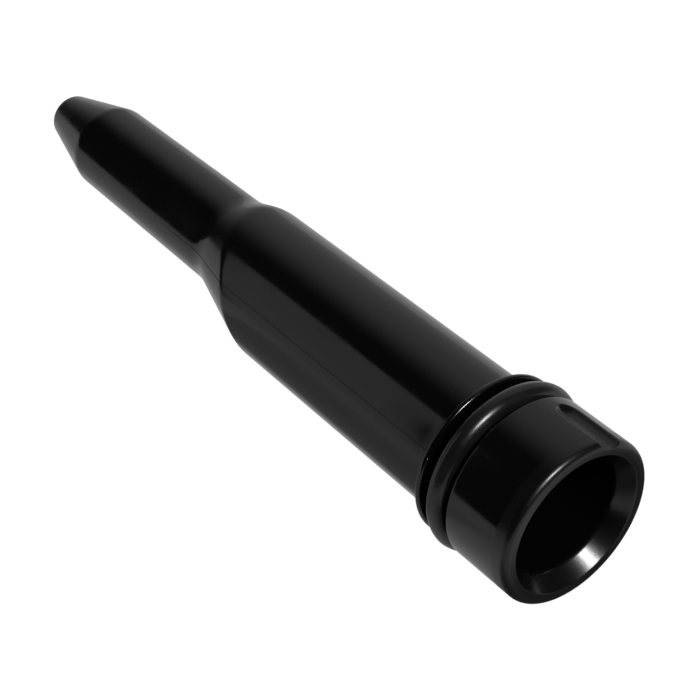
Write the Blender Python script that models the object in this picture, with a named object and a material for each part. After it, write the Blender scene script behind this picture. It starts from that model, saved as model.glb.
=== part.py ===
"""Blower nozzle lying on its side: one hollow moulding with a keyed spigot, and the rubber ring that seals it.

Metres, +Z up. The nozzle's axis runs along X: the mouth that the blower plugs into faces +X, the tip faces -X.
The neck is off-centre in the tube. The nozzle lies with its keyway leaning over to +Y, and the ring on the ground.
Stations such as COLLAR_LENGTH are measured from the rim of the mouth towards the tip.
"""
import math

import bmesh
import bpy

MM = 0.001

# Spigot: keyed collar, gland for the ring, and the land in front of it
COLLAR_DIAMETER = 32.0 * MM
COLLAR_LENGTH = 15.0 * MM
RIM_ROUND = 1.3 * MM
EDGE_ROUND = 0.5 * MM
GLAND_WIDTH = 7.0 * MM
GLAND_DIAMETER = 25.3 * MM
GLAND_WALL = 1.15 * MM
LAND_WIDTH = 1.2 * MM
LAND_DIAMETER = 31.7 * MM

# Mouth: a countersunk lip in front of the bore, which leaves the gland its wall
LIP_WIDTH = 2.3 * MM
COUNTERSINK_SLOPE = 0.70

# Keyway along the top of the collar: a round-bottomed groove, open at the rim, with a ball-shaped blind end
KEYWAY_RADIUS = 3.4 * MM
KEYWAY_LENGTH = 12.0 * MM
KEYWAY_DEPTH = 1.3 * MM
KEYWAY_LEAN = math.radians(25.0)

# Tube and its moulding draft, as radius lost per unit of length
TUBE_DIAMETER = 27.1 * MM
TUBE_DRAFT = 0.006

# Off-centre shoulder cone, neck and tip
NECK_OFFSET = 2.25 * MM
SHOULDER_SLOPE = 0.303
SHOULDER_BLEND = 16.0 * MM
NECK_START = 99.5 * MM
NECK_DIAMETER = 18.56 * MM
NECK_DRAFT = 0.0062
TIP_START = 146.4 * MM
TIP_DIAMETER = 9.7 * MM
TIP_ROUND = 1.3 * MM
LENGTH = 163.7 * MM
WALL = 2.0 * MM
OUTLET_DIAMETER = 6.0 * MM

# Sealing ring, stretched over the gland's floor, with room on both sides to spread when it is squeezed
RING_CORD = 4.0 * MM
RING_FIT = 0.3 * MM
RING_STATION = 18.3 * MM

# Facets
SEGMENTS = 64
CORD_SEGMENTS = 16
ROUND_STEPS = 4
OVERSHOOT = 4.0 * MM

# Sizes that follow from those above
COLLAR_RADIUS = COLLAR_DIAMETER / 2
LAND_START = COLLAR_LENGTH + GLAND_WIDTH
TUBE_START = LAND_START + LAND_WIDTH
GLAND_RADIUS = GLAND_DIAMETER / 2
BORE_DIAMETER = GLAND_DIAMETER - 2 * GLAND_WALL
TUBE_RADIUS = TUBE_DIAMETER / 2
NECK_RADIUS = NECK_DIAMETER / 2
RING_CENTRE_RADIUS = GLAND_RADIUS + RING_FIT + RING_CORD / 2
RING_RADIUS = RING_CENTRE_RADIUS + RING_CORD / 2
AXIS_HEIGHT = RING_RADIUS * math.cos(math.pi / SEGMENTS)
RIM_X = LENGTH / 2
NECK_Y = NECK_OFFSET * math.sin(KEYWAY_LEAN)
NECK_Z = AXIS_HEIGHT + NECK_OFFSET * math.cos(KEYWAY_LEAN)
KEYWAY_RISE = COLLAR_RADIUS - KEYWAY_DEPTH + KEYWAY_RADIUS
KEYWAY_Y = KEYWAY_RISE * math.sin(KEYWAY_LEAN)
KEYWAY_Z = AXIS_HEIGHT + KEYWAY_RISE * math.cos(KEYWAY_LEAN)


def moulded(name, colour, roughness):
    """A Principled material."""
    material = bpy.data.materials.new(name)
    material.use_nodes = True
    shader = material.node_tree.nodes["Principled BSDF"]
    shader.inputs["Base Color"].default_value = (*colour, 1.0)
    shader.inputs["Roughness"].default_value = roughness
    return material


def finish(name, bm, material):
    """Turn a bmesh into a smooth-shaded object with its corners kept sharp."""
    bmesh.ops.recalc_face_normals(bm, faces=bm.faces)
    mesh = bpy.data.meshes.new(name)
    bm.to_mesh(mesh)
    bm.free()
    mesh.shade_smooth()
    mesh.set_sharp_from_angle(angle=math.radians(30))
    mesh.materials.append(material)
    obj = bpy.data.objects.new(name, mesh)
    bpy.context.collection.objects.link(obj)
    return obj


def turned(name, profile, centre, material):
    """Spin (station, radius) points about an axis along X. A flat facet faces the ground."""
    bm = bmesh.new()
    start = math.pi / SEGMENTS
    verts = []
    for station, radius in profile:
        y = centre[0] + radius * math.sin(start)
        z = centre[1] - radius * math.cos(start)
        verts.append(bm.verts.new((RIM_X - station, y, z)))
    edges = [bm.edges.new(pair) for pair in zip(verts, verts[1:])]
    bmesh.ops.spin(bm, geom=verts + edges, cent=(0, *centre), axis=(1, 0, 0), dvec=(0, 0, 0),
                   angle=math.tau, steps=SEGMENTS)
    bmesh.ops.remove_doubles(bm, verts=bm.verts, dist=1e-6)
    return finish(name, bm, material)


def arc(station, radius, size, first, last, steps=ROUND_STEPS):
    """Points on a round about (station, radius), with angles in degrees from outwards towards the tip."""
    points = []
    for step in range(steps + 1):
        angle = math.radians(first + (last - first) * step / steps)
        points.append((station + size * math.sin(angle), radius + size * math.cos(angle)))
    return points


def combine(obj, tool, operation):
    """Live exact Boolean. The tool is only a construction body."""
    tool.hide_render = True
    tool.display_type = "WIRE"
    modifier = obj.modifiers.new(tool.name, "BOOLEAN")
    modifier.operation = operation
    modifier.solver = "EXACT"
    modifier.object = tool


def neck_radius(station):
    return NECK_RADIUS - NECK_DRAFT * (station - NECK_START)


def shoulder_station(radius):
    """Where the shoulder cone has this radius about the neck's axis."""
    return NECK_START - (radius - NECK_RADIUS) / SHOULDER_SLOPE


def spigot_and_tube():
    """Outside of the collar, gland, land and tube. The tube is carried on past the tip."""
    edge = COLLAR_RADIUS - EDGE_ROUND
    ridge = LAND_DIAMETER / 2 - EDGE_ROUND
    end = LENGTH + OVERSHOOT
    points = [(0, 0)]
    points += arc(RIM_ROUND, COLLAR_RADIUS - RIM_ROUND, RIM_ROUND, -90, 0)
    points += arc(COLLAR_LENGTH - EDGE_ROUND, edge, EDGE_ROUND, 0, 90, 3)
    points += [(COLLAR_LENGTH, GLAND_RADIUS), (LAND_START, GLAND_RADIUS)]
    points += arc(LAND_START + EDGE_ROUND, ridge, EDGE_ROUND, -90, 0, 3)
    points += arc(TUBE_START - EDGE_ROUND, ridge, EDGE_ROUND, 0, 90, 3)
    points += [(TUBE_START, TUBE_RADIUS), (end, TUBE_RADIUS - TUBE_DRAFT * (end - TUBE_START)), (end, 0)]
    return points


def shoulder_and_neck():
    """Outside of the shoulder cone, neck and tip about the neck's axis, wide open behind the shoulder."""
    wide = COLLAR_RADIUS + NECK_OFFSET + OVERSHOOT
    cone = math.atan(SHOULDER_SLOPE)
    drop = math.atan(NECK_DRAFT)
    reach = SHOULDER_BLEND * math.tan((cone - drop) / 2)
    blend = arc(NECK_START + reach * math.cos(drop) + SHOULDER_BLEND * math.sin(drop),
                neck_radius(NECK_START + reach) + SHOULDER_BLEND * math.cos(drop), SHOULDER_BLEND,
                180 + math.degrees(cone), 180 + math.degrees(drop), 3)
    tip = LENGTH - TIP_ROUND
    run = tip - TIP_START
    rise = neck_radius(TIP_START) - TIP_DIAMETER / 2 + TIP_ROUND
    slant = math.degrees(math.acos(TIP_ROUND / math.hypot(run, rise)) - math.atan2(run, rise))
    points = [(-OVERSHOOT, 0), (-OVERSHOOT, wide), (shoulder_station(wide), wide)]
    points += blend
    points += [(TIP_START, neck_radius(TIP_START))]
    points += arc(tip, TIP_DIAMETER / 2 - TIP_ROUND, TIP_ROUND, slant, 90)
    points += [(LENGTH, 0)]
    return points


def bore_and_mouth():
    """Inside of the mouth and tube. The countersink is carried on behind the rim, the bore past the tip."""
    lip = COLLAR_RADIUS - LIP_WIDTH
    bore = BORE_DIAMETER / 2
    end = LENGTH + OVERSHOOT
    depth = (lip - bore) / COUNTERSINK_SLOPE
    ahead = RIM_ROUND / 2
    return [(-ahead, 0), (-ahead, lip + COUNTERSINK_SLOPE * ahead), (depth, bore),
            (end, bore - TUBE_DRAFT * (end - depth)), (end, 0)]


def neck_bore():
    """Inside of the shoulder, neck and tip about the neck's axis, a wall's thickness in from the outside."""
    wide = COLLAR_RADIUS + NECK_OFFSET + OVERSHOOT
    outlet = OUTLET_DIAMETER / 2
    tip_slope = (neck_radius(TIP_START) - TIP_DIAMETER / 2) / (LENGTH - TIP_START)
    start = NECK_START - WALL * SHOULDER_SLOPE / 2
    bend = TIP_START - WALL * tip_slope / 2
    inside = neck_radius(bend) - WALL
    return [(-OVERSHOOT, 0), (-OVERSHOOT, wide), (start - (wide - neck_radius(start) + WALL) / SHOULDER_SLOPE, wide),
            (start, neck_radius(start) - WALL), (bend, inside), (bend + (inside - outlet) / tip_slope, outlet),
            (LENGTH + OVERSHOOT, outlet), (LENGTH + OVERSHOOT, 0)]


def keyway():
    """A ball-ended cutter about its own axis, carried on behind the rim."""
    reach = math.sqrt(KEYWAY_DEPTH * (2 * KEYWAY_RADIUS - KEYWAY_DEPTH))
    points = [(-OVERSHOOT, 0), (-OVERSHOOT, KEYWAY_RADIUS)]
    points += arc(KEYWAY_LENGTH - reach, 0, KEYWAY_RADIUS, 0, 90, 2 * ROUND_STEPS)
    return points


def ring(material):
    """Round cord swept about the nozzle's axis."""
    bm = bmesh.new()
    start = math.pi / SEGMENTS
    cord = []
    for step in range(CORD_SEGMENTS):
        angle = math.tau * step / CORD_SEGMENTS
        radius = RING_CENTRE_RADIUS + RING_CORD / 2 * math.cos(angle)
        x = RIM_X - RING_STATION + RING_CORD / 2 * math.sin(angle)
        cord.append(bm.verts.new((x, radius * math.sin(start), AXIS_HEIGHT - radius * math.cos(start))))
    edges = [bm.edges.new(pair) for pair in zip(cord, cord[1:] + cord[:1])]
    bmesh.ops.spin(bm, geom=cord + edges, cent=(0, 0, AXIS_HEIGHT), axis=(1, 0, 0), dvec=(0, 0, 0),
                   angle=math.tau, steps=SEGMENTS)
    bmesh.ops.remove_doubles(bm, verts=bm.verts, dist=1e-6)
    return finish("o_ring", bm, material)


for old in list(bpy.data.objects):
    bpy.data.objects.remove(old)

plastic = moulded("black_moulded_plastic", (0.012, 0.012, 0.013), 0.18)
rubber = moulded("black_nitrile_rubber", (0.020, 0.020, 0.021), 0.45)

tube_axis = (0, AXIS_HEIGHT)
neck_axis = (NECK_Y, NECK_Z)
nozzle = turned("nozzle", spigot_and_tube(), tube_axis, plastic)
outside = turned("shoulder_and_neck_tool", shoulder_and_neck(), neck_axis, plastic)
core = turned("bore_tool", bore_and_mouth(), tube_axis, plastic)
core_neck = turned("neck_bore_tool", neck_bore(), neck_axis, plastic)
cutter = turned("keyway_tool", keyway(), (KEYWAY_Y, KEYWAY_Z), plastic)

combine(core, core_neck, "INTERSECT")
combine(nozzle, outside, "INTERSECT")
combine(nozzle, core, "DIFFERENCE")
combine(nozzle, cutter, "DIFFERENCE")
ring(rubber)
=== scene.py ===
# %% [markdown]
# # A blower nozzle and its sealing ring
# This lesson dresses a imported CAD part: a glossy black nozzle that plugs into a hand blower, and the rubber ring
# that seals its spigot. The CAD solids are faceted. They give the sizes, the places and the collision shapes, and
# the pieces made here are smooth and finely edged, and take the solids' place in the picture.
# The nozzle's axis runs along X, with the mouth at +X and the tip at -X, and +Z is up.

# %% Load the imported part
import math

import bmesh
import bpy
from mathutils import Matrix, Vector


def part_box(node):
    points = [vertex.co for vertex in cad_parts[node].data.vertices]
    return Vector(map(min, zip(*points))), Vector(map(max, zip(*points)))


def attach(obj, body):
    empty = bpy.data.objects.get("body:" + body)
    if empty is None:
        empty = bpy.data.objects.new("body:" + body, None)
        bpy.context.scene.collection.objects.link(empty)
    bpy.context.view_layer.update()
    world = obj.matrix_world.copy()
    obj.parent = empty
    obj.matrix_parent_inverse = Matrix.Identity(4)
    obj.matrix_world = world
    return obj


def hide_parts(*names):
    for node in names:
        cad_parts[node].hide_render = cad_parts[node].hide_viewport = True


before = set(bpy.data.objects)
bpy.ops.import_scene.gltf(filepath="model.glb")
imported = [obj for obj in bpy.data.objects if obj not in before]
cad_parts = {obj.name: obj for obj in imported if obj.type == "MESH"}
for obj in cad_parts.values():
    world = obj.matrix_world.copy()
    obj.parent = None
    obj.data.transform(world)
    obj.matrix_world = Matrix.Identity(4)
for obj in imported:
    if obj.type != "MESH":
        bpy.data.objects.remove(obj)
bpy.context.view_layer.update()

# %% [markdown]
# ## Sizes
# The sizes are those of the CAD part, in millimetres times MM, so that every piece lands where its solid is. Only
# the outer skin differs a little, after a closer look at the photo: its radii by up to 0.35 mm, its drafts, the start
# of the neck by 0.2 mm and the length of the keyway by 0.3 mm. Stations are measured from the rim of the mouth towards
# the tip.

# %% Sizes of the nozzle and ring
MM = 0.001

LENGTH = 163.7 * MM
COLLAR_RADIUS = 16.22 * MM
COLLAR_LENGTH = 15.0 * MM
GLAND_RADIUS = 12.65 * MM
LAND_START = 22.0 * MM
LAND_RADIUS = 16.05 * MM
TUBE_START = 23.2 * MM
TUBE_RADIUS = 13.80 * MM
TUBE_DRAFT = 0.0042
LIP_RADIUS = 13.7 * MM
COUNTERSINK_SLOPE = 0.70
BORE_RADIUS = 11.5 * MM
NECK_OFFSET = 2.25 * MM
SHOULDER_SLOPE = 0.303
NECK_START = 99.7 * MM
NECK_RADIUS = 9.58 * MM
NECK_DRAFT = 0.0079
TIP_START = 146.4 * MM
TIP_END_RADIUS = 4.74 * MM
OUTLET_RADIUS = 3.0 * MM
WALL = 2.0 * MM
KEYWAY_RADIUS = 3.4 * MM
KEYWAY_LENGTH = 12.3 * MM
KEYWAY_DEPTH = 1.3 * MM
KEYWAY_LEAN = math.radians(25.0)
PARTING_TURN = math.radians(-61.1)
RING_CORD = 4.0 * MM
RING_STATION = 18.3 * MM
RING_RADIUS = 16.9 * MM

RIM_X = LENGTH / 2
AXIS_HEIGHT = sum(corner[2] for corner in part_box("o_ring")) / 2
RING_X = sum(corner[0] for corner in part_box("o_ring")) / 2
print("rim at x", round(RIM_X / MM, 2), "axis at z", round(AXIS_HEIGHT / MM, 2), "ring at x", round(RING_X / MM, 2))

# %% [markdown]
# ## Helpers for nodes
# Materials and Geometry Nodes are both trees of nodes. One function adds any node: it sets the node's own settings,
# then fills each input with a number or joins it to another node's output. Colours are written as sRGB hex values, as
# in a paint program, and shaders want linear light, so one function converts them.

# %% Node and colour helpers
MATH = "ShaderNodeMath"
VECTOR_MATH = "ShaderNodeVectorMath"
MAP_RANGE = "ShaderNodeMapRange"


def add(tree, kind, inputs=(), out=0, **settings):
    """Add a node and return one of its outputs. inputs is a list in socket order, or a dict by name or number."""
    node = tree.nodes.new(kind)
    for name, value in settings.items():
        setattr(node, name, value)
    pairs = inputs.items() if isinstance(inputs, dict) else enumerate(inputs)
    for key, value in pairs:
        if isinstance(value, bpy.types.NodeSocket):
            tree.links.new(value, node.inputs[key])
        else:
            node.inputs[key].default_value = value
    return node.outputs[out] if len(node.outputs) else node


def linear(hex_colour):
    """An sRGB hex colour as linear red, green, blue and alpha."""
    channels = [int(hex_colour[i:i + 2], 16) / 255 for i in (1, 3, 5)]
    return (*[c / 12.92 if c <= 0.04045 else ((c + 0.055) / 1.055) ** 2.4 for c in channels], 1.0)


def new_material(name):
    """An empty material with only its output node, and that node's surface input."""
    material = bpy.data.materials.new(name)
    material.use_nodes = True
    tree = material.node_tree
    tree.nodes.clear()
    output = tree.nodes.new("ShaderNodeOutputMaterial")
    return material, tree, output.inputs["Surface"]


print("white is", linear("#ffffff"), "and mid grey", [round(c, 3) for c in linear("#808080")])

# %% [markdown]
# ## Moulded black ABS
# The nozzle is injection-moulded ABS, black right through and glossy from a polished mould. What it gives the eye is
# almost all reflection: a deep black that mirrors its surroundings, softer where hands have smeared it, with hairline
# scuffs along the tube from use, and dust. The colour stays flat, because black ABS is dyed in the mass. The patterns
# could be painted as an image, but made from Object coordinates they have a real size in millimetres and no seam.

# %% Smears, scuffs and dust on the ABS
SMEAR_SIZE = 14.0 * MM
SMEAR_RANGE = (0.35, 0.68)
SCUFF_LENGTH = 30.0 * MM
SCUFF_SPACING = 1.4 * MM
SCUFF_WIDTH = 0.006
SCUFFED_RANGE = (0.52, 0.62)
DUST_SPACING = 2.6 * MM
DUST_EDGE = (0.020, 0.034)
DUST_FREE_SHARE = 0.72

abs_plastic, tree, surface = new_material("moulded_black_abs")
place = add(tree, "ShaderNodeTexCoord", out=3)
smear = add(tree, "ShaderNodeTexNoise", {"Vector": place, "Scale": 1 / SMEAR_SIZE, "Detail": 3.0})
stretch = (1 / SCUFF_LENGTH, 1 / SCUFF_SPACING, 1 / SCUFF_SPACING)
stretched = add(tree, "ShaderNodeMapping", {"Vector": place, "Scale": stretch})
scuff = add(tree, "ShaderNodeTexNoise", {"Vector": stretched, "Scale": 1.0, "Detail": 2.0})
off_line = add(tree, MATH, [scuff, 0.5], operation="SUBTRACT")
off_line = add(tree, MATH, [off_line], operation="ABSOLUTE")
hairline = add(tree, MAP_RANGE, [off_line, 0.0, SCUFF_WIDTH, 1.0, 0.0])
scuffed = add(tree, MAP_RANGE, [smear, *SCUFFED_RANGE, 0.0, 1.0])
hairline = add(tree, MATH, [hairline, scuffed], operation="MULTIPLY")
cell = add(tree, "ShaderNodeTexVoronoi", {"Vector": place, "Scale": 1 / DUST_SPACING})
speck = add(tree, MAP_RANGE, [cell, *DUST_EDGE, 1.0, 0.0])
lot = add(tree, "ShaderNodeSeparateColor", [cell.node.outputs["Color"]])
kept = add(tree, MATH, [lot, DUST_FREE_SHARE], operation="GREATER_THAN")
dust = add(tree, MATH, [speck, kept], operation="MULTIPLY")
print("patterns of", len(tree.nodes), "nodes")

# %% [markdown]
# ## Wear and relief
# On the rim and in the countersink the light is wide and mottled in the photo, as on plastic that has been rubbed. How
# worn a spot is comes from an attribute of the mesh: wear dulls the gloss and adds a fine relief. The rest of the
# relief is a faint orange peel, where the plastic shrank in its mould, and the hollow lines of the scuffs.

# %% Finish the ABS
GLOSS_RANGE = (0.10, 0.19)
SCUFF_DULLING = 0.16
DUST_DULLING = 0.5
WEAR_DULLING = 0.17
PEEL_SIZE = 1.6 * MM
RUB_SIZE = 0.7 * MM
SCUFF_DEPTH = 0.35
RUB_HEIGHT = 5.0
RELIEF_HEIGHT = 0.02 * MM

black, dust_grey = linear("#070708"), linear("#77746f")
tint = add(tree, "ShaderNodeMix", {0: dust, 6: black, 7: dust_grey}, out=2, data_type="RGBA")
gloss = add(tree, MAP_RANGE, [smear, *SMEAR_RANGE, *GLOSS_RANGE])
rough = add(tree, MATH, [hairline, SCUFF_DULLING, gloss], operation="MULTIPLY_ADD")
rough = add(tree, MATH, [dust, DUST_DULLING, rough], operation="MULTIPLY_ADD")
wear = add(tree, "ShaderNodeAttribute", out=2, attribute_name="wear")
rough = add(tree, MATH, [wear, WEAR_DULLING, rough], operation="MULTIPLY_ADD")
peel = add(tree, "ShaderNodeTexNoise", {"Vector": place, "Scale": 1 / PEEL_SIZE, "Detail": 2.0})
relief = add(tree, MATH, [hairline, -SCUFF_DEPTH, peel], operation="MULTIPLY_ADD")
rub = add(tree, "ShaderNodeTexNoise", {"Vector": place, "Scale": 1 / RUB_SIZE, "Detail": 3.0})
rub = add(tree, MATH, [rub, wear], operation="MULTIPLY")
relief = add(tree, MATH, [rub, RUB_HEIGHT, relief], operation="MULTIPLY_ADD")
normal = add(tree, "ShaderNodeBump", {"Strength": 0.12, "Distance": RELIEF_HEIGHT, "Height": relief})
shader = add(tree, "ShaderNodeBsdfPrincipled",
             {"Base Color": tint, "Roughness": rough, "Normal": normal, "IOR": 1.53})
tree.links.new(shader, surface)
print("material", abs_plastic.name, "with", len(tree.nodes), "nodes")

# %% [markdown]
# ## Nitrile rubber
# The ring is compression-moulded nitrile rubber. It is black too, but softer in its shine, and a thin bloom of filler
# greys it unevenly. A touch of grain keeps its highlight from looking like plastic, and a few specks of lint cling to
# it. The bloom and the lint could be separate coats, but both only change the colour, so they are mixed into it.

# %% Make the rubber material
BLOOM_SIZE = 5.0 * MM
BLOOM_RANGE = (0.35, 0.70)
BLOOM_GLOSS_RANGE = (0.20, 0.32)
GRAIN_SIZE = 0.35 * MM
GRAIN_HEIGHT = 0.02 * MM
LINT_SPACING = 2.2 * MM
LINT_EDGE = (0.05, 0.09)
LINT_FREE_SHARE = 0.8

rubber, tree, surface = new_material("moulded_nitrile_rubber")
place = add(tree, "ShaderNodeTexCoord", out=3)
bloom = add(tree, "ShaderNodeTexNoise", {"Vector": place, "Scale": 1 / BLOOM_SIZE, "Detail": 4.0})
bloom = add(tree, MAP_RANGE, [bloom, *BLOOM_RANGE, 0.0, 1.0])
black, bloom_grey, lint_grey = linear("#131314"), linear("#1d1d1e"), linear("#8f8d88")
tint = add(tree, "ShaderNodeMix", {0: bloom, 6: black, 7: bloom_grey}, out=2, data_type="RGBA")
rough = add(tree, MAP_RANGE, [bloom, 0.0, 1.0, *BLOOM_GLOSS_RANGE])
grain = add(tree, "ShaderNodeTexNoise", {"Vector": place, "Scale": 1 / GRAIN_SIZE, "Detail": 2.0})
cell = add(tree, "ShaderNodeTexVoronoi", {"Vector": place, "Scale": 1 / LINT_SPACING})
lot = add(tree, "ShaderNodeSeparateColor", [cell.node.outputs["Color"]])
kept = add(tree, MATH, [lot, LINT_FREE_SHARE], operation="GREATER_THAN")
speck = add(tree, MAP_RANGE, [cell, *LINT_EDGE, 1.0, 0.0])
speck = add(tree, MATH, [speck, kept], operation="MULTIPLY")
tint = add(tree, "ShaderNodeMix", {0: speck, 6: tint, 7: lint_grey}, out=2, data_type="RGBA")
normal = add(tree, "ShaderNodeBump", {"Strength": 0.15, "Distance": GRAIN_HEIGHT, "Height": grain})
shader = add(tree, "ShaderNodeBsdfPrincipled",
             {"Base Color": tint, "Roughness": rough, "Normal": normal, "IOR": 1.52})
tree.links.new(shader, surface)
print("material", rubber.name, "with", len(tree.nodes), "nodes")

# %% [markdown]
# ## Radii along the nozzle
# A turned shape is an outline spun about an axis. This nozzle has two axes, because its neck is off-centre in its
# tube. The tube and its bore are turned about one, and the shoulder's cone, the neck and their bore about the other.
# All of them taper a little, so that the moulding slides off its core: that is the draft.

# %% Radii of the tube, bore, neck and shoulder
def tube_radius(station):
    return TUBE_RADIUS - TUBE_DRAFT * (station - TUBE_START)


def bore_radius(station):
    return BORE_RADIUS - TUBE_DRAFT * station


def neck_radius(station):
    return NECK_RADIUS - NECK_DRAFT * (station - NECK_START)


def outer_cone(station):
    return NECK_RADIUS + SHOULDER_SLOPE * (NECK_START - station)


def inner_cone(station):
    return neck_radius(inner_start) - WALL + SHOULDER_SLOPE * (inner_start - station)


inner_start = NECK_START - WALL * SHOULDER_SLOPE / 2
print("wall at the neck's start", round((neck_radius(inner_start) - inner_cone(inner_start)) / MM, 2), "mm")

# %% [markdown]
# ## Rounded corners
# A mould's edges are never knife-sharp, and on glossy plastic each small round catches its own thin light. A corner of
# the outline is written as a station, a radius, the length that its round takes up on both sides, and the spacing of
# the rows after it. A Bevel modifier could round the edges later, but true arcs in the outline keep the net regular.

# %% Round a chain of corners
ROUND_STEPS = 9


def rounded(corners):
    """Points along a chain of corners, with a true arc in place of each corner that has a cut."""
    points = []
    for i, (station, radius, cut, _) in enumerate(corners):
        here = Vector((station, radius))
        arc = [here]
        if cut and 0 < i < len(corners) - 1:
            back = (Vector(corners[i - 1][:2]) - here).normalized()
            on = (Vector(corners[i + 1][:2]) - here).normalized()
            half = back.angle(on) / 2
            middle = here + (back + on).normalized() * cut / math.cos(half)
            first, last = here + back * cut - middle, here + on * cut - middle
            sweep = first.angle(last)
            arc = []
            for k in range(ROUND_STEPS + 1):
                share = k / ROUND_STEPS
                arc.append(middle + (math.sin((1 - share) * sweep) * first + math.sin(share * sweep) * last)
                           / math.sin(sweep))
        if points:
            start, gap = points[-1], corners[i - 1][3]
            count = max(1, math.ceil((arc[0] - start).length / gap))
            points += [start.lerp(arc[0], k / count) for k in range(1, count)]
        points += arc
    return [tuple(p) for p in points]


print("a square corner gets", len(rounded([(0, 0, 0, 1), (1, 0, 0.2, 1), (1, 1, 0, 1)])), "points")

# %% [markdown]
# ## The nozzle's outline
# The outline comes in two stretches, one turned about each axis. The first starts in the bore, comes out over the
# countersink and the lip, and runs over the collar, the gland and the land to the tube. The second starts on the
# shoulder, runs over the neck and the tip, turns in through the outlet, and ends inside the shoulder.

# %% The two stretches of the outline
TUBE_BLEND_START = 66.0 * MM
NECK_BLEND_END = 97.0 * MM
COUNTERSINK_DEPTH = (LIP_RADIUS - BORE_RADIUS) / COUNTERSINK_SLOPE
LIP_ROUND = 0.22 * MM
RIM_ROUND = 1.3 * MM
RIM_END = 2.6 * MM
EDGE_ROUND = 0.5 * MM
GLAND_ROUND = 0.3 * MM
TUBE_ROUND = 0.4 * MM
SHOULDER_ROUND = 2.2 * MM
BEND_ROUND = 0.9 * MM
TIP_ROUND = 1.1 * MM
OUTLET_ROUND = 0.2 * MM

mouth = rounded([
    (TUBE_BLEND_START, bore_radius(TUBE_BLEND_START), 0, 6 * MM),
    (COUNTERSINK_DEPTH, bore_radius(COUNTERSINK_DEPTH), EDGE_ROUND, 0.5 * MM),
    (0, LIP_RADIUS, LIP_ROUND, 0.3 * MM),
    (0, COLLAR_RADIUS, RIM_ROUND, 0.2 * MM),
    (RIM_END, COLLAR_RADIUS, 0, 0.6 * MM),
    (KEYWAY_LENGTH - 2.5 * MM, COLLAR_RADIUS, 0, 0.12 * MM),
    (KEYWAY_LENGTH + 0.3 * MM, COLLAR_RADIUS, 0, 0.5 * MM),
    (COLLAR_LENGTH, COLLAR_RADIUS, EDGE_ROUND, 0.5 * MM),
    (COLLAR_LENGTH, GLAND_RADIUS, GLAND_ROUND, 1.5 * MM),
    (LAND_START, GLAND_RADIUS, GLAND_ROUND, 0.5 * MM),
    (LAND_START, LAND_RADIUS, EDGE_ROUND, 0.4 * MM),
    (TUBE_START, LAND_RADIUS, EDGE_ROUND, 0.5 * MM),
    (TUBE_START, TUBE_RADIUS, TUBE_ROUND, 3 * MM),
    (TUBE_BLEND_START, tube_radius(TUBE_BLEND_START), 0, MM),
])

tip_slope = (neck_radius(TIP_START) - TIP_END_RADIUS) / (LENGTH - TIP_START)
inner_bend = TIP_START - WALL * tip_slope / 2
inner_reach = neck_radius(inner_bend) - WALL
neck = rounded([
    (NECK_BLEND_END, outer_cone(NECK_BLEND_END), 0, 0.5 * MM),
    (NECK_START, NECK_RADIUS, SHOULDER_ROUND, 4 * MM),
    (TIP_START, neck_radius(TIP_START), BEND_ROUND, 1.5 * MM),
    (LENGTH, TIP_END_RADIUS, TIP_ROUND, 0.4 * MM),
    (LENGTH, OUTLET_RADIUS, OUTLET_ROUND, 0.4 * MM),
    (inner_bend + (inner_reach - OUTLET_RADIUS) / tip_slope, OUTLET_RADIUS, 0.3 * MM, 2 * MM),
    (inner_bend, inner_reach, 1 * MM, 6 * MM),
    (inner_start, neck_radius(inner_start) - WALL, 1.2 * MM, 1 * MM),
    (NECK_BLEND_END, inner_cone(NECK_BLEND_END), 0, 1 * MM),
])
print(len(mouth), "points from bore to tube,", len(neck), "round the neck")

# %% [markdown]
# ## Rows near the crease
# Where the shoulder's cone cuts the tube there is a slanting crease. Each row carries two radii: how far the skin may
# reach from the tube's axis, and how far from the neck's. The smaller one wins. The rows near the crease crowd
# together, and a share says how far each will slide along the axis to follow the slant.

# %% Rows from the tube to the neck
CREASE_OFFSETS = (-3.4, -2.6, -2.0, -1.5, -1.1, -0.75, -0.45, -0.2, 0.0, 0.2, 0.45, 0.75, 1.1, 1.5, 2.0)
CREASE_STEPS = 8


def crease_rows(radius_at, cone_at, seam):
    """Rows from the tube to the neck, outside or inside the wall."""
    crease = TUBE_BLEND_START
    for _ in range(4):
        level = math.hypot(radius_at(crease), NECK_OFFSET)
        crease = NECK_START - (level - cone_at(NECK_START)) / SHOULDER_SLOPE
    near = [crease + offset * MM for offset in CREASE_OFFSETS]
    before, after = near[0] - TUBE_BLEND_START, NECK_BLEND_END - near[-1]
    steps = range(1, CREASE_STEPS)
    stations = [TUBE_BLEND_START + before * k / CREASE_STEPS for k in steps] + near
    stations += [near[-1] + after * k / CREASE_STEPS for k in steps]
    rows = []
    for station in stations:
        slide = min(1.0, (station - TUBE_BLEND_START) / before, (NECK_BLEND_END - station) / after)
        rows.append((station, radius_at(station), cone_at(station), slide, seam, 0.0))
    return rows


outer_crease = crease_rows(tube_radius, outer_cone, 1.0)
inner_crease = crease_rows(bore_radius, inner_cone, 0.0)
print(len(outer_crease), "rows over the crease, outside and inside")

# %% [markdown]
# ## All rows round the wall
# Two more values ride on each row. The seam says how much of the mould's parting line shows: all of it on the tube and
# the shoulder, fading out on the neck, and none on the spigot, where the photo shows none. The wear says how rubbed
# the skin is round the mouth.

# %% Join the rows
WIDE = 60 * MM
PARTING_END = 112.0 * MM
PARTING_FADE = 12.0 * MM
RIM_EDGE = 14.6 * MM
LIP_MARGIN = 0.1 * MM
WORN_MARGIN = 0.4 * MM
COUNTERSINK_WEAR = 0.6
LIP_WEAR = 0.3
RIM_WEAR = 1.0


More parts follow.
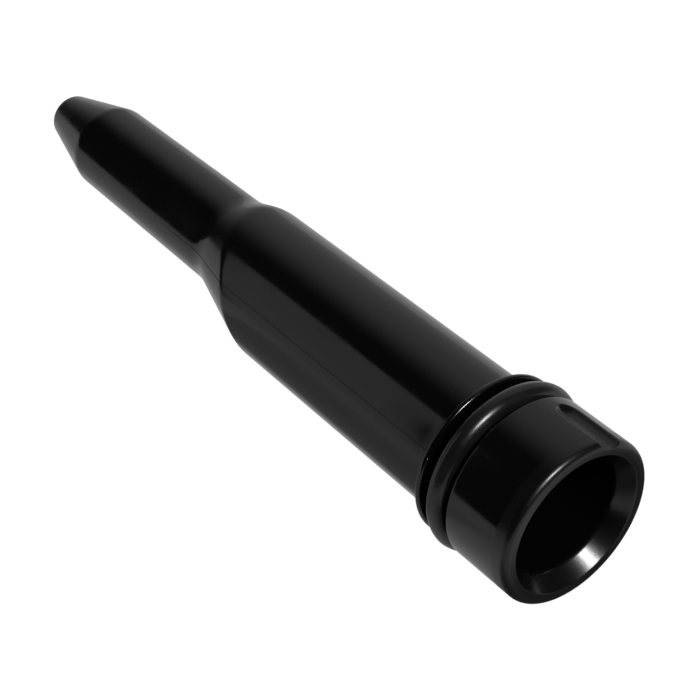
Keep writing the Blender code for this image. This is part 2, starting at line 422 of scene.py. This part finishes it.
def mouth_wear(station, radius):
    """How rubbed the skin is, from 0 to 1. Beyond the mouth it isn't."""
    if station >= COUNTERSINK_DEPTH + WORN_MARGIN:
        return 0.0
    if radius < LIP_RADIUS - LIP_MARGIN:
        return COUNTERSINK_WEAR
    return RIM_WEAR if radius > RIM_EDGE else LIP_WEAR


rows = []
for station, radius in mouth:
    on_tube = station > LAND_START and radius > TUBE_RADIUS - 1 * MM
    rows.append((station, radius, WIDE, 0.0, 1.0 if on_tube else 0.0, mouth_wear(station, radius)))
rows += outer_crease
tip_row = max(range(len(neck)), key=lambda i: neck[i][0])
for i, (station, radius) in enumerate(neck):
    seam = min(1.0, max(0.0, (PARTING_END - station) / PARTING_FADE)) if i < tip_row else 0.0
    rows.append((station, tube_radius(station), radius, 0.0, seam, 0.0))
rows += reversed(inner_crease)
print(len(rows), "rows round the wall")

# %% [markdown]
# ## The nozzle's spokes
# The skin is a net of rows and spokes. Two degrees between spokes keep the round silhouette smooth. They are set
# closer where there is fine shape to carry: across the keyway, and on the parting line, the hair-thin step between
# the two halves of the mould along both sides.

# %% Spokes round the axis
SPOKE_STEP = math.radians(2.0)
KEYWAY_SPOKE = 0.1 * MM
KEYWAY_SPOKES = 36
PARTING_SPOKE = 0.02 * MM
PARTING_SPOKES = 7

spokes = []
for k in range(-KEYWAY_SPOKES, KEYWAY_SPOKES + 1):
    spokes.append(KEYWAY_LEAN + math.asin(k * KEYWAY_SPOKE / COLLAR_RADIUS))
fine = [(KEYWAY_LEAN, math.asin(KEYWAY_SPOKES * KEYWAY_SPOKE / COLLAR_RADIUS))]
for side in (PARTING_TURN, PARTING_TURN + math.pi):
    spokes += [side + k * PARTING_SPOKE / TUBE_RADIUS for k in range(-PARTING_SPOKES, PARTING_SPOKES + 1)]
    fine.append((side, PARTING_SPOKES * PARTING_SPOKE / TUBE_RADIUS))
for k in range(round(math.tau / SPOKE_STEP)):
    angle = k * SPOKE_STEP
    gaps = [abs((angle - middle + math.pi) % math.tau - math.pi) - half for middle, half in fine]
    if min(gaps) > SPOKE_STEP / 4:
        spokes.append(angle)
spokes = sorted(angle % math.tau for angle in spokes)
print(len(spokes), "spokes")

# %% [markdown]
# ## A closed net
# The wall is one closed skin: over the outside, in through the outlet, back along the bore and out at the mouth. So
# the net joins up both ways, and every point carries its row's values and its spoke's angle as attributes.

# %% Make the net
NET_VALUES = ("station", "tube", "neck", "slide", "seam", "wear")


def closed_net(name, rows, spokes):
    """Quads between rows and spokes, joined up both ways. Points wait at the origin for the rule to place them."""
    across = len(spokes)
    faces = []
    for i in range(len(rows)):
        for j in range(across):
            below, beside = (i + 1) % len(rows), (j + 1) % across
            faces.append((i * across + j, i * across + beside, below * across + beside, below * across + j))
    mesh = bpy.data.meshes.new(name)
    mesh.from_pydata([(0, 0, 0)] * (len(rows) * across), [], faces)
    for column, label in enumerate(NET_VALUES):
        values = [row[column] for row in rows for _ in spokes]
        mesh.attributes.new(label, "FLOAT", "POINT").data.foreach_set("value", values)
    mesh.attributes.new("turn", "FLOAT", "POINT").data.foreach_set("value", spokes * len(rows))
    return mesh


net = closed_net("moulded_nozzle", rows, spokes)
print("net of", len(net.polygons), "quads")

# %% [markdown]
# ## A rule for the nozzle
# Geometry Nodes place every point of the net, by a rule with a named input for each size. Booleans could cut the same
# shapes, but they leave slivers that glossy plastic shows at once. The rule first reads the values that each point
# carries, and its angle from the keyway.

# %% Start the rule
KEYWAY_REACH = math.sqrt(KEYWAY_DEPTH * (2 * KEYWAY_RADIUS - KEYWAY_DEPTH))
RULE_SIZES = {
    "Neck Offset": NECK_OFFSET, "Shoulder Slope": SHOULDER_SLOPE, "Tube Draft": TUBE_DRAFT, "Lean": KEYWAY_LEAN,
    "Edge Blend": 0.36 * MM, "Top Blend": 0.29 * MM,
    "Parting Turn": PARTING_TURN, "Parting Step": 0.04 * MM, "Parting Width": 0.05 * MM,
    "Keyway Radius": KEYWAY_RADIUS, "Keyway Round": KEYWAY_LENGTH - KEYWAY_REACH,
    "Keyway Floor": COLLAR_RADIUS - KEYWAY_DEPTH, "Keyway Blend": 0.45 * MM,
    "Rim X": RIM_X, "Axis Height": AXIS_HEIGHT,
}


def rule_tree(name, sizes):
    """A Geometry Nodes tree with a named input for each size. Returns it and its inputs by name."""
    tree = bpy.data.node_groups.new(name, "GeometryNodeTree")
    tree.interface.new_socket("Geometry", in_out="INPUT", socket_type="NodeSocketGeometry")
    for label in sizes:
        tree.interface.new_socket(label, in_out="INPUT", socket_type="NodeSocketFloat")
    tree.interface.new_socket("Geometry", in_out="OUTPUT", socket_type="NodeSocketGeometry")
    entry = tree.nodes.new("NodeGroupInput")
    return tree, {socket.name: socket for socket in entry.outputs}


rule, size = rule_tree("nozzle_rule", RULE_SIZES)
value = {}
for label in (*NET_VALUES, "turn"):
    value[label] = add(rule, "GeometryNodeInputNamedAttribute", {"Name": label}, data_type="FLOAT")
offset = size["Neck Offset"]
turn = add(rule, MATH, [value["turn"], size["Lean"]], operation="SUBTRACT")
cosine = add(rule, MATH, [turn], operation="COSINE")
sine = add(rule, MATH, [turn], operation="SINE")
print("rule with", len(RULE_SIZES), "sizes")

# %% [markdown]
# ## Following the crease
# Seen from the neck's axis, the tube's skin is nearest on the keyway's side and farthest opposite. The cone cuts a far
# skin sooner, so the crease slants. The rows near it slide along the axis by just that much, so that one row runs
# along the edge, and their radii are corrected for the slide.

# %% Slide the rows near the crease
tube_squared = add(rule, MATH, [value["tube"], value["tube"]], operation="MULTIPLY")
level_squared = add(rule, MATH, [offset, offset, tube_squared], operation="MULTIPLY_ADD")
level = add(rule, MATH, [level_squared], operation="SQRT")
twice = add(rule, MATH, [offset, -2.0], operation="MULTIPLY")
twice = add(rule, MATH, [twice, value["tube"]], operation="MULTIPLY")
seen_squared = add(rule, MATH, [twice, cosine, level_squared], operation="MULTIPLY_ADD")
seen = add(rule, MATH, [seen_squared], operation="SQRT")
shift = add(rule, MATH, [level, seen], operation="SUBTRACT")
shift = add(rule, MATH, [shift, size["Shoulder Slope"]], operation="DIVIDE")
shift = add(rule, MATH, [shift, value["slide"]], operation="MULTIPLY")
station = add(rule, MATH, [value["station"], shift], operation="ADD")
lost = add(rule, MATH, [shift, size["Tube Draft"]], operation="MULTIPLY")
tube = add(rule, MATH, [value["tube"], lost], operation="SUBTRACT")
lost = add(rule, MATH, [shift, size["Shoulder Slope"]], operation="MULTIPLY")
neck_reach = add(rule, MATH, [value["neck"], lost], operation="SUBTRACT")
print("crease followed,", len(rule.nodes), "nodes so far")

# %% [markdown]
# ## The smaller of two radii
# The neck's circle is off-centre, so its distance from the tube's axis changes round the nozzle. It is compared with
# the tube's radius, and the smaller one is kept. A smooth minimum leaves a small round along the crease. It is larger
# on the keyway's side, where the photo's outline is soft, and fades to almost nothing opposite.

# %% Cut the tube with the shoulder
across = add(rule, MATH, [offset, sine], operation="MULTIPLY")
across = add(rule, MATH, [across, across], operation="MULTIPLY")
chord = add(rule, MATH, [neck_reach, neck_reach], operation="MULTIPLY")
chord = add(rule, MATH, [chord, across], operation="SUBTRACT")
chord = add(rule, MATH, [chord], operation="SQRT")
neck_skin = add(rule, MATH, [offset, cosine, chord], operation="MULTIPLY_ADD")
blend = add(rule, MATH, [cosine, size["Top Blend"], size["Edge Blend"]], operation="MULTIPLY_ADD")
radius = add(rule, MATH, [tube, neck_skin, blend], operation="SMOOTH_MIN")
print("shoulder cut,", len(rule.nodes), "nodes so far")

# %% [markdown]
# ## The parting line
# The two halves of a mould never meet perfectly. One half of this nozzle stands a few hundredths of a millimetre
# proud of the other, and the step draws a thin dark line along both sides. A raised ridge would draw a light and a
# dark line, and the photo shows only a dark one.

# %% Step between the halves of the mould
away = add(rule, MATH, [value["turn"], size["Parting Turn"]], operation="SUBTRACT")
away = add(rule, MATH, [away], operation="SINE")
away = add(rule, MATH, [away, radius], operation="MULTIPLY")
away = add(rule, MATH, [away, size["Parting Width"]], operation="DIVIDE")
half = add(rule, MAP_RANGE, [away, -1.0, 1.0, 1.0, -1.0], interpolation_type="SMOOTHSTEP")
half = add(rule, MATH, [half, value["seam"]], operation="MULTIPLY")
radius = add(rule, MATH, [half, size["Parting Step"], radius], operation="MULTIPLY_ADD")
print("parting line stepped,", len(rule.nodes), "nodes so far")

# %% [markdown]
# ## The keyway
# A tongue in the blower's socket would find this groove, so that the nozzle goes in one way round. Its floor and its
# inner end are round, as in the CAD part, which cuts it with a ball-ended tool. The height of that floor over the axis
# is compared with the height of the skin, and the skin is pressed down where it stands higher, with a soft edge.

# %% Press in the keyway
beside = add(rule, MATH, [radius, sine], operation="MULTIPLY")
beside = add(rule, MATH, [beside, beside], operation="MULTIPLY")
beyond = add(rule, MATH, [station, size["Keyway Round"]], operation="SUBTRACT")
beyond = add(rule, MATH, [beyond, 0.0], operation="MAXIMUM")
beyond = add(rule, MATH, [beyond, beyond, beside], operation="MULTIPLY_ADD")
round_squared = add(rule, MATH, [size["Keyway Radius"], size["Keyway Radius"]], operation="MULTIPLY")
below = add(rule, MATH, [round_squared, beyond], operation="SUBTRACT")
below = add(rule, MATH, [below, 0.0], operation="MAXIMUM")
below = add(rule, MATH, [below], operation="SQRT")
groove = add(rule, MATH, [size["Keyway Floor"], size["Keyway Radius"]], operation="ADD")
groove = add(rule, MATH, [groove, below], operation="SUBTRACT")
height = add(rule, MATH, [radius, cosine], operation="MULTIPLY")
pressed = add(rule, MATH, [height, groove, size["Keyway Blend"]], operation="SMOOTH_MIN")
press = add(rule, MATH, [height, pressed], operation="SUBTRACT")
print("keyway pressed in,", len(rule.nodes), "nodes so far")

# %% [markdown]
# ## Into place
# At last the station, the radius and the angle become a place in space, with the press taken off along the keyway's
# lean. The tree ends in Realize Instances and Set Material, so that what comes out is plain geometry with its finish.

# %% Finish the rule
x = add(rule, MATH, [size["Rim X"], station], operation="SUBTRACT")
lean_sine = add(rule, MATH, [size["Lean"]], operation="SINE")
lean_cosine = add(rule, MATH, [size["Lean"]], operation="COSINE")
turn_sine = add(rule, MATH, [value["turn"]], operation="SINE")
turn_cosine = add(rule, MATH, [value["turn"]], operation="COSINE")
down = add(rule, MATH, [press, lean_sine], operation="MULTIPLY")
y = add(rule, MATH, [radius, turn_sine], operation="MULTIPLY")
y = add(rule, MATH, [y, down], operation="SUBTRACT")
down = add(rule, MATH, [press, lean_cosine], operation="MULTIPLY")
z = add(rule, MATH, [radius, turn_cosine, size["Axis Height"]], operation="MULTIPLY_ADD")
z = add(rule, MATH, [z, down], operation="SUBTRACT")
spot = add(rule, "ShaderNodeCombineXYZ", [x, y, z])
placed = add(rule, "GeometryNodeSetPosition", {"Geometry": size["Geometry"], "Position": spot})
placed = add(rule, "GeometryNodeRealizeInstances", [placed])
placed = add(rule, "GeometryNodeSetMaterial", {"Geometry": placed, "Material": abs_plastic})
add(rule, "NodeGroupOutput", [placed])
print("rule of", len(rule.nodes), "nodes")

# %% [markdown]
# ## From nodes to a plain mesh
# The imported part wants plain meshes. The modifier's inputs are set by their identifiers before the first evaluation,
# then the result is copied out and the modifier removed. Normals are turned outwards, and corners sharper than a
# limit are marked, so that smooth shading doesn't smear them. Only the wear stays on the mesh, for the material.

# %% Shape the nozzle
SHARP = math.radians(38)
MERGE_DISTANCE = 0.0005 * MM
USED_UP = ("station", "tube", "neck", "slide", "seam", "turn")


def shaped(name, mesh, tree, sizes):
    """Run a tree on a mesh and keep the result as a plain, closed, smooth-shaded piece."""
    piece = bpy.data.objects.new(name, mesh)
    bpy.context.scene.collection.objects.link(piece)
    modifier = piece.modifiers.new("rule", "NODES")
    modifier.node_group = tree
    for item in tree.interface.items_tree:
        if item.name in sizes:
            modifier[item.identifier] = sizes[item.name]
    depsgraph = bpy.context.evaluated_depsgraph_get()
    result = bpy.data.meshes.new_from_object(piece.evaluated_get(depsgraph), depsgraph=depsgraph)
    piece.modifiers.clear()
    piece.data = result
    bm = bmesh.new()
    bm.from_mesh(result)
    bmesh.ops.remove_doubles(bm, verts=bm.verts, dist=MERGE_DISTANCE)
    bmesh.ops.recalc_face_normals(bm, faces=bm.faces)
    open_edges = sum(1 for e in bm.edges if len(e.link_faces) != 2)
    volume = bm.calc_volume(signed=True)
    bm.to_mesh(result)
    bm.free()
    for label in USED_UP:
        if label in result.attributes:
            result.attributes.remove(result.attributes[label])
    result.shade_smooth()
    result.set_sharp_from_angle(angle=SHARP)
    print(name, len(result.polygons), "faces,", open_edges, "open edges,", round(volume * 1e9), "cubic mm")
    return piece


moulded_nozzle = shaped("moulded_nozzle", net, rule, RULE_SIZES)

# %% [markdown]
# ## The sealing ring
# An O-ring is a round cord moulded in a circle, so Geometry Nodes sweep one circle along another. A torus primitive
# would do for the bare shape, but the two halves of its mould meet on the widest line and leave a faint ridge of
# flash there, which the same tree lifts.

# %% Sweep the ring
RING_STEPS = 240
CORD_STEPS = 80
RING_SIZES = {
    "Ring Radius": RING_RADIUS - RING_CORD / 2, "Cord Radius": RING_CORD / 2,
    "Flash Height": 0.03 * MM, "Flash Width": 0.14 * MM,
    "Ring X": RING_X, "Axis Height": AXIS_HEIGHT,
}

sweep, size = rule_tree("ring_rule", RING_SIZES)
path = add(sweep, "GeometryNodeCurvePrimitiveCircle", {"Resolution": RING_STEPS, "Radius": size["Ring Radius"]})
cord = add(sweep, "GeometryNodeCurvePrimitiveCircle", {"Resolution": CORD_STEPS, "Radius": size["Cord Radius"]})
ring = add(sweep, "GeometryNodeCurveToMesh", {"Curve": path, "Profile Curve": cord})
where = add(sweep, "ShaderNodeSeparateXYZ", [add(sweep, "GeometryNodeInputPosition")], out=2)
off = add(sweep, MATH, [where, size["Flash Width"]], operation="DIVIDE")
off = add(sweep, MATH, [off, off], operation="MULTIPLY")
off = add(sweep, MATH, [off, -1.0], operation="MULTIPLY")
flash = add(sweep, MATH, [off], operation="EXPONENT")
flash = add(sweep, MATH, [flash, size["Flash Height"]], operation="MULTIPLY")
outwards = add(sweep, "GeometryNodeInputNormal")
lift = add(sweep, VECTOR_MATH, {0: outwards, "Scale": flash}, operation="SCALE")
ring = add(sweep, "GeometryNodeSetPosition", {"Geometry": ring, "Offset": lift})
home = add(sweep, "ShaderNodeCombineXYZ", [size["Ring X"], 0.0, size["Axis Height"]])
ring = add(sweep, "GeometryNodeTransform",
           {"Geometry": ring, "Translation": home, "Rotation": (0.0, math.pi / 2, 0.0)})
ring = add(sweep, "GeometryNodeRealizeInstances", [ring])
ring = add(sweep, "GeometryNodeSetMaterial", {"Geometry": ring, "Material": rubber})
add(sweep, "NodeGroupOutput", [ring])
sealing_ring = shaped("sealing_ring", bpy.data.meshes.new("sealing_ring"), sweep, RING_SIZES)

# %% [markdown]
# ## Riding on the CAD part
# Nothing on the nozzle moves, so both pieces ride on the one body. Each stands for its own solid, which is hidden.

# %% Tie the pieces to the solids
for piece, node in ((moulded_nozzle, "nozzle"), (sealing_ring, "o_ring")):
    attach(piece, "root")
    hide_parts(node)
    print(piece.name, "stands for", node)

# %% [markdown]
# ## White paper
# The nozzle lies on white paper under strong light. To the camera the paper is burnt out to plain white, so it glows
# at full strength for camera rays. In the nozzle's gloss the same paper is grey, with two darker patches before the
# mouth and a soft band beside the tube, as if the nozzle kept the light off it there. They were placed to match what
# the photo's gloss shows. A lit white sheet with a real shadow would be simpler, but wouldn't burn out evenly.

# %% Make the paper
# In the nozzle's gloss the paper's glow is painted light, a stand-in for lit paper. The patches and the band darken it
# with painted shadows.
PAPER_GLOW = 0.41
PAPER_SHADE = 0.03
SHADE_PATCHES = (
    # Squeeze across the axis, middle after the squeeze, where the shade starts to fade and where it ends
    (0.6, (RIM_X + 12 * MM, 24 * MM, 0.0), 8 * MM, 28 * MM),
    (0.25, (RIM_X + 2 * MM, 3 * MM, 0.0), 7 * MM, 20 * MM),
)
BAND_MIDDLE = 14 * MM
BAND_ENDS = (26 * MM, 40 * MM)
BAND_FAR_SIDE = (-65 * MM, -16 * MM, 1.0, 0.36)
BAND_NEAR_SIDE = (-17 * MM, -11 * MM, 0.0, 1.29)

paper, tree, surface = new_material("matt_white_paper")
place = add(tree, "ShaderNodeTexCoord", out=3)
patches = []
for squeeze, middle, start, end in SHADE_PATCHES:
    flat = add(tree, VECTOR_MATH, [place, (1.0, squeeze, 0.0)], operation="MULTIPLY")
    apart = add(tree, VECTOR_MATH, [flat, middle], out=1, operation="DISTANCE")
    patches.append(add(tree, MAP_RANGE, [apart, start, end, PAPER_SHADE, PAPER_GLOW],
                       interpolation_type="SMOOTHSTEP"))
shade = add(tree, MATH, patches, operation="MINIMUM")
# The band beside the tube is a painted shadow, and it rises to a painted brighter strip just under the tube's edge.
along = add(tree, "ShaderNodeSeparateXYZ", [place])
side = along.node.outputs["Y"]
along = add(tree, MATH, [along, BAND_MIDDLE], operation="SUBTRACT")
along = add(tree, MATH, [along], operation="ABSOLUTE")
ends = add(tree, MAP_RANGE, [along, *BAND_ENDS, 0.0, 1.0])
far = add(tree, MAP_RANGE, [side, *BAND_FAR_SIDE])
near = add(tree, MAP_RANGE, [side, *BAND_NEAR_SIDE])
band = add(tree, MATH, [far, near], operation="MAXIMUM")
band = add(tree, MATH, [band, ends], operation="MAXIMUM")
shade = add(tree, MATH, [shade, band], operation="MULTIPLY")
# Camera rays see plain white. All other rays see the painted glow with its painted shadows.
white_and_painted_glow = add(tree, MAP_RANGE, [add(tree, "ShaderNodeLightPath"), 0.0, 1.0, shade, 1.0])
shader = add(tree, "ShaderNodeBsdfPrincipled",
             {"Base Color": linear("#3c3c3c"), "Roughness": 0.9, "Emission Color": linear("#ffffff"),
              "Emission Strength": white_and_painted_glow})
tree.links.new(shader, surface)
print("material", paper.name, "with", len(tree.nodes), "nodes")

# %% [markdown]
# ## The table
# The nozzle lies on its ring and on the lower edge of its shoulder, so in the part's own frame the table slopes a
# little, rising towards the tip. It is one flat sheet. On the viewer's left it is cut back so that the shoulder, the
# neck and the tip mirror the dark room beyond its edge.

# %% Lay the table under the nozzle
CREASE_GUESS = 79 * MM
TABLE_REACH = 1.2
TABLE_EDGE = 0.125
TABLE_NOTCH = (
    (-TABLE_REACH, -0.02), (-0.188, -0.02), (-0.188, -0.040), (-0.262, -0.073), (-0.262, -0.107),
    (-0.165, -0.064), (-0.137, -0.062), (-0.085, -TABLE_EDGE),
)

crease_station = NECK_START - (tube_radius(CREASE_GUESS) + NECK_OFFSET - NECK_RADIUS) / SHOULDER_SLOPE
table_slope = math.atan2(RING_RADIUS - tube_radius(crease_station), crease_station - RING_STATION)
table_up = Vector((math.sin(table_slope), 0, math.cos(table_slope)))
under_ring = Vector((RING_X, 0, AXIS_HEIGHT)) - table_up * (RING_RADIUS + RING_SIZES["Flash Height"])
corners = [(-TABLE_REACH, TABLE_REACH), *TABLE_NOTCH, (TABLE_REACH, -TABLE_EDGE), (TABLE_REACH, TABLE_REACH)]

bm = bmesh.new()
bm.faces.new([bm.verts.new((*corner, 0)) for corner in corners])
bmesh.ops.triangulate(bm, faces=bm.faces)
laid = Matrix.Translation(under_ring) @ Matrix.Rotation(table_slope, 4, "Y")
bmesh.ops.transform(bm, matrix=laid, verts=bm.verts)
mesh = bpy.data.meshes.new("table")
bm.to_mesh(mesh)
bm.free()
mesh.materials.append(paper)
table = bpy.data.objects.new("table", mesh)
bpy.context.scene.collection.objects.link(table)
print("table slopes", round(math.degrees(table_slope), 2), "degrees")

# %% [markdown]
# ## Lamp and card
# Black gloss is lit by what it mirrors. One small lamp, high before the mouth, gives the sharp glints on the rim, the
# ring and the land, and the bright patch in the countersink. A low card on the viewer's left is mirrored in the tube,
# and draws the broad grey band along it.

# %% Set the lamp and the card
def panel(name, place, aim, width, height, power):
    """A soft rectangular light that faces a point."""
    light = bpy.data.lights.new(name, "AREA")
    light.shape = "RECTANGLE"
    light.size = width
    light.size_y = height
    light.energy = power
    lamp = bpy.data.objects.new(name, light)
    lamp.location = place
    lamp.rotation_euler = (Vector(aim) - Vector(place)).to_track_quat("-Z", "Y").to_euler()
    bpy.context.scene.collection.objects.link(lamp)
    return lamp


panel("lamp", place=(0.400, -0.030, 0.395), aim=(0.075, 0.0, 0.017), width=0.12, height=0.12, power=2.0)
panel("left_card", place=(-0.066, -0.106, 0.0548), aim=(-0.066, -0.0145, 0.0148), width=0.096, height=0.152,
      power=0.01843)

# %% [markdown]
# ## The room
# The room is dark on the viewer's side, which leaves the deep black band along the tube, and it brightens softly
# towards the far side, which greys the nozzle's far edge. Towards the mouth's end it dims again. To the camera alone
# the background is plain white, like the paper.

# %% Set the room's light
DARK_SIDE = 0.02
BRIGHT_SIDE = 0.38
SIDE_RANGE = (-0.15, 0.5)
MOUTH_END_DIMMING = 0.12
END_RANGE = (-0.2, 0.25)

world = bpy.data.worlds.new("studio")
bpy.context.scene.world = world
world.use_nodes = True
tree = world.node_tree
tree.nodes.clear()
bearing = add(tree, "ShaderNodeSeparateXYZ", [add(tree, "ShaderNodeTexCoord")])
glow = add(tree, MAP_RANGE, [bearing.node.outputs["Y"], *SIDE_RANGE, DARK_SIDE, BRIGHT_SIDE],
           interpolation_type="SMOOTHSTEP")
dimmed = add(tree, MAP_RANGE, [bearing, *END_RANGE, 1.0, MOUTH_END_DIMMING], interpolation_type="SMOOTHSTEP")
glow = add(tree, MATH, [glow, dimmed], operation="MULTIPLY")
room = add(tree, "ShaderNodeBackground", {"Color": linear("#ffffff"), "Strength": glow})
backdrop = add(tree, "ShaderNodeBackground", {"Color": linear("#ffffff"), "Strength": 1.0})
seen = add(tree, "ShaderNodeLightPath")
both = add(tree, "ShaderNodeMixShader", [seen, room, backdrop])
add(tree, "ShaderNodeOutputWorld", [both])
print("room from", DARK_SIDE, "to", BRIGHT_SIDE)

# %% [markdown]
# ## Camera
# A long lens looks down on the mouth from about 40 degrees. Its place comes from matching the rim, the ring and the
# outline of the tube and neck. Its upright leans a little from the part's own +Z, by an angle from the same match.

# %% Place the camera
VIEW_PLACE = Vector((0.23088, -0.15349, 0.23041))
VIEW_ON = Vector((-0.6242, 0.4547, -0.6352)).normalized()
VIEW_TILT = math.radians(3.469)

camera_data = bpy.data.cameras.new("camera")
camera_data.sensor_width = 36.0
camera_data.lens = 92.57
camera_data.clip_start = 0.01
camera_data.clip_end = 20
camera = bpy.data.objects.new("camera", camera_data)
bpy.context.scene.collection.objects.link(camera)
upright = Vector((math.sin(VIEW_TILT), 0, math.cos(VIEW_TILT)))
view_right = VIEW_ON.cross(upright).normalized()
view_up = view_right.cross(VIEW_ON)
turned = Matrix((view_right, view_up, -VIEW_ON)).transposed().to_4x4()
camera.matrix_world = Matrix.Translation(VIEW_PLACE) @ turned
bpy.context.scene.camera = camera
bpy.context.scene.view_settings.view_transform = "Standard"
print("camera at", [round(v / MM, 1) for v in VIEW_PLACE])
